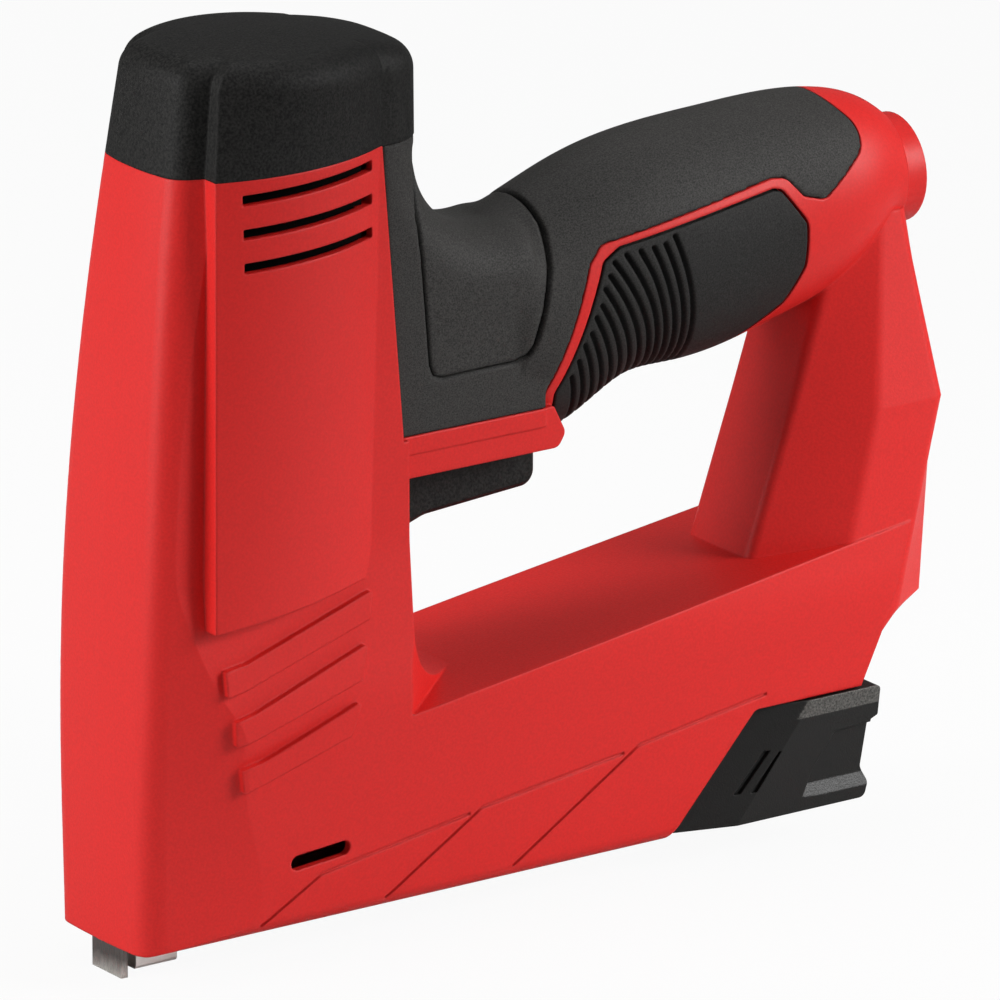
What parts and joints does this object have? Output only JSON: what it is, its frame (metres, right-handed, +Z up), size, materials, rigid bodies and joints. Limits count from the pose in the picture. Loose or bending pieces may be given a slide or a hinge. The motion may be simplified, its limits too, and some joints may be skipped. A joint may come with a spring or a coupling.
{
  "type": "electric staple gun",
  "caption": "Red and black corded staple gun: solenoid column with steel nose contact, D-shaped handle over a finger opening, finger trigger and a staple magazine that pulls out to the rear",
  "frame": {"origin": "Middle of the foot of the nose contact plate, where the tool rests on the work.", "axes": "+X to the rear, from the nose to the handle; +Z up, against the driving direction; +Y to the right side, across the housing."},
  "size_m": [0.2176, 0.0524, 0.2072],
  "materials": {
    "housing_red": "fine-grained satin moulding",
    "cap_black": "satin moulding",
    "grip_rubber": "matte soft grip",
    "bright_steel": "bright nickel plate",
    "tool_steel": "machined steel",
    "spring_steel": "drawn wire",
    "sheet_steel": "zinc-plated sheet",
    "insulator": "moulded insulator",
    "copper": "enamelled copper wire",
    "board_green": "coated board",
    "alloy": "extruded aluminium"
  },
  "bodies": {
    "housing": {"left_shell": "housing_red", "right_shell": "housing_red", "top_cap": "cap_black", "left_grip": "grip_rubber", "right_grip": "grip_rubber", "left_pad": "grip_rubber", "right_pad": "grip_rubber", "rocker_frame": "cap_black", "nose_guide": "bright_steel", "solenoid_yoke": "tool_steel", "coil_bobbin": "insulator", "coil_winding": "copper", "return_spring": "spring_steel", "top_buffer": "grip_rubber", "lower_bumper": "grip_rubber", "magazine_channel": "sheet_steel", "contact_switch": "insulator", "contact_springs": "spring_steel", "trigger_switch": "insulator", "trigger_spring": "spring_steel", "circuit_board": "board_green", "capacitors": "insulator", "power_thyristor": "insulator", "heat_sink": "alloy", "terminal_block": "insulator", "housing_screws": "tool_steel"},
    "driver": {"armature": "tool_steel", "armature_head": "tool_steel", "driver_carrier": "tool_steel", "carrier_screw": "tool_steel", "driver_blade": "tool_steel"},
    "contact": {"nose_contact": "bright_steel"},
    "trigger": {"trigger": "cap_black"},
    "plunger": {"switch_plunger": "insulator"},
    "magazine": {"magazine_grip": "cap_black", "staple_rail": "sheet_steel", "magazine_tray": "sheet_steel", "spring_rod": "sheet_steel", "pusher_spring": "spring_steel", "release_spring": "spring_steel"},
    "pusher": {"staple_pusher": "sheet_steel"},
    "release": {"magazine_release": "cap_black"},
    "rocker": {"power_rocker": "cap_black"}
  },
  "joints": [
    {"name": "trigger_press", "type": "slide", "parent": "housing", "child": "trigger", "axis": [0, 0, 1], "range_m": [0, 0.005], "stiffness_N_per_m": 600, "springref_m": -0.002, "deforming": ["trigger_spring"]},
    {"name": "plunger_press", "type": "slide", "parent": "housing", "child": "plunger", "axis": [0, 0, 1], "range_m": [0, 0.005]},
    {"name": "driver_stroke", "type": "slide", "parent": "housing", "child": "driver", "axis": [0, 0, -1], "range_m": [0, 0.025], "stiffness_N_per_m": 400, "springref_m": -0.015, "deforming": ["return_spring"]},
    {"name": "contact_press", "type": "slide", "parent": "housing", "child": "contact", "axis": [0, 0, 1], "range_m": [0, 0.003], "stiffness_N_per_m": 800, "springref_m": -0.002, "deforming": ["contact_springs"]},
    {"name": "magazine_slide", "type": "slide", "parent": "housing", "child": "magazine", "axis": [1, 0, 0], "range_m": [0, 0.11]},
    {"name": "pusher_slide", "type": "slide", "parent": "magazine", "child": "pusher", "axis": [1, 0, 0], "range_m": [0, 0.08], "stiffness_N_per_m": 60, "springref_m": -0.04, "deforming": ["pusher_spring"]},
    {"name": "release_press", "type": "slide", "parent": "magazine", "child": "release", "axis": [-1, 0, 0], "range_m": [0, 0.003], "stiffness_N_per_m": 500, "springref_m": -0.002, "deforming": ["release_spring"]},
    {"name": "rocker_tilt", "type": "hinge", "parent": "housing", "child": "rocker", "pos_m": [0.2095, 0, 0.07], "axis": [0, 1, 0], "range_deg": [0, 14]}
  ],
  "couplings": [
    {"joint": "plunger_press", "follows": "trigger_press", "ratio": 1}
  ]
}
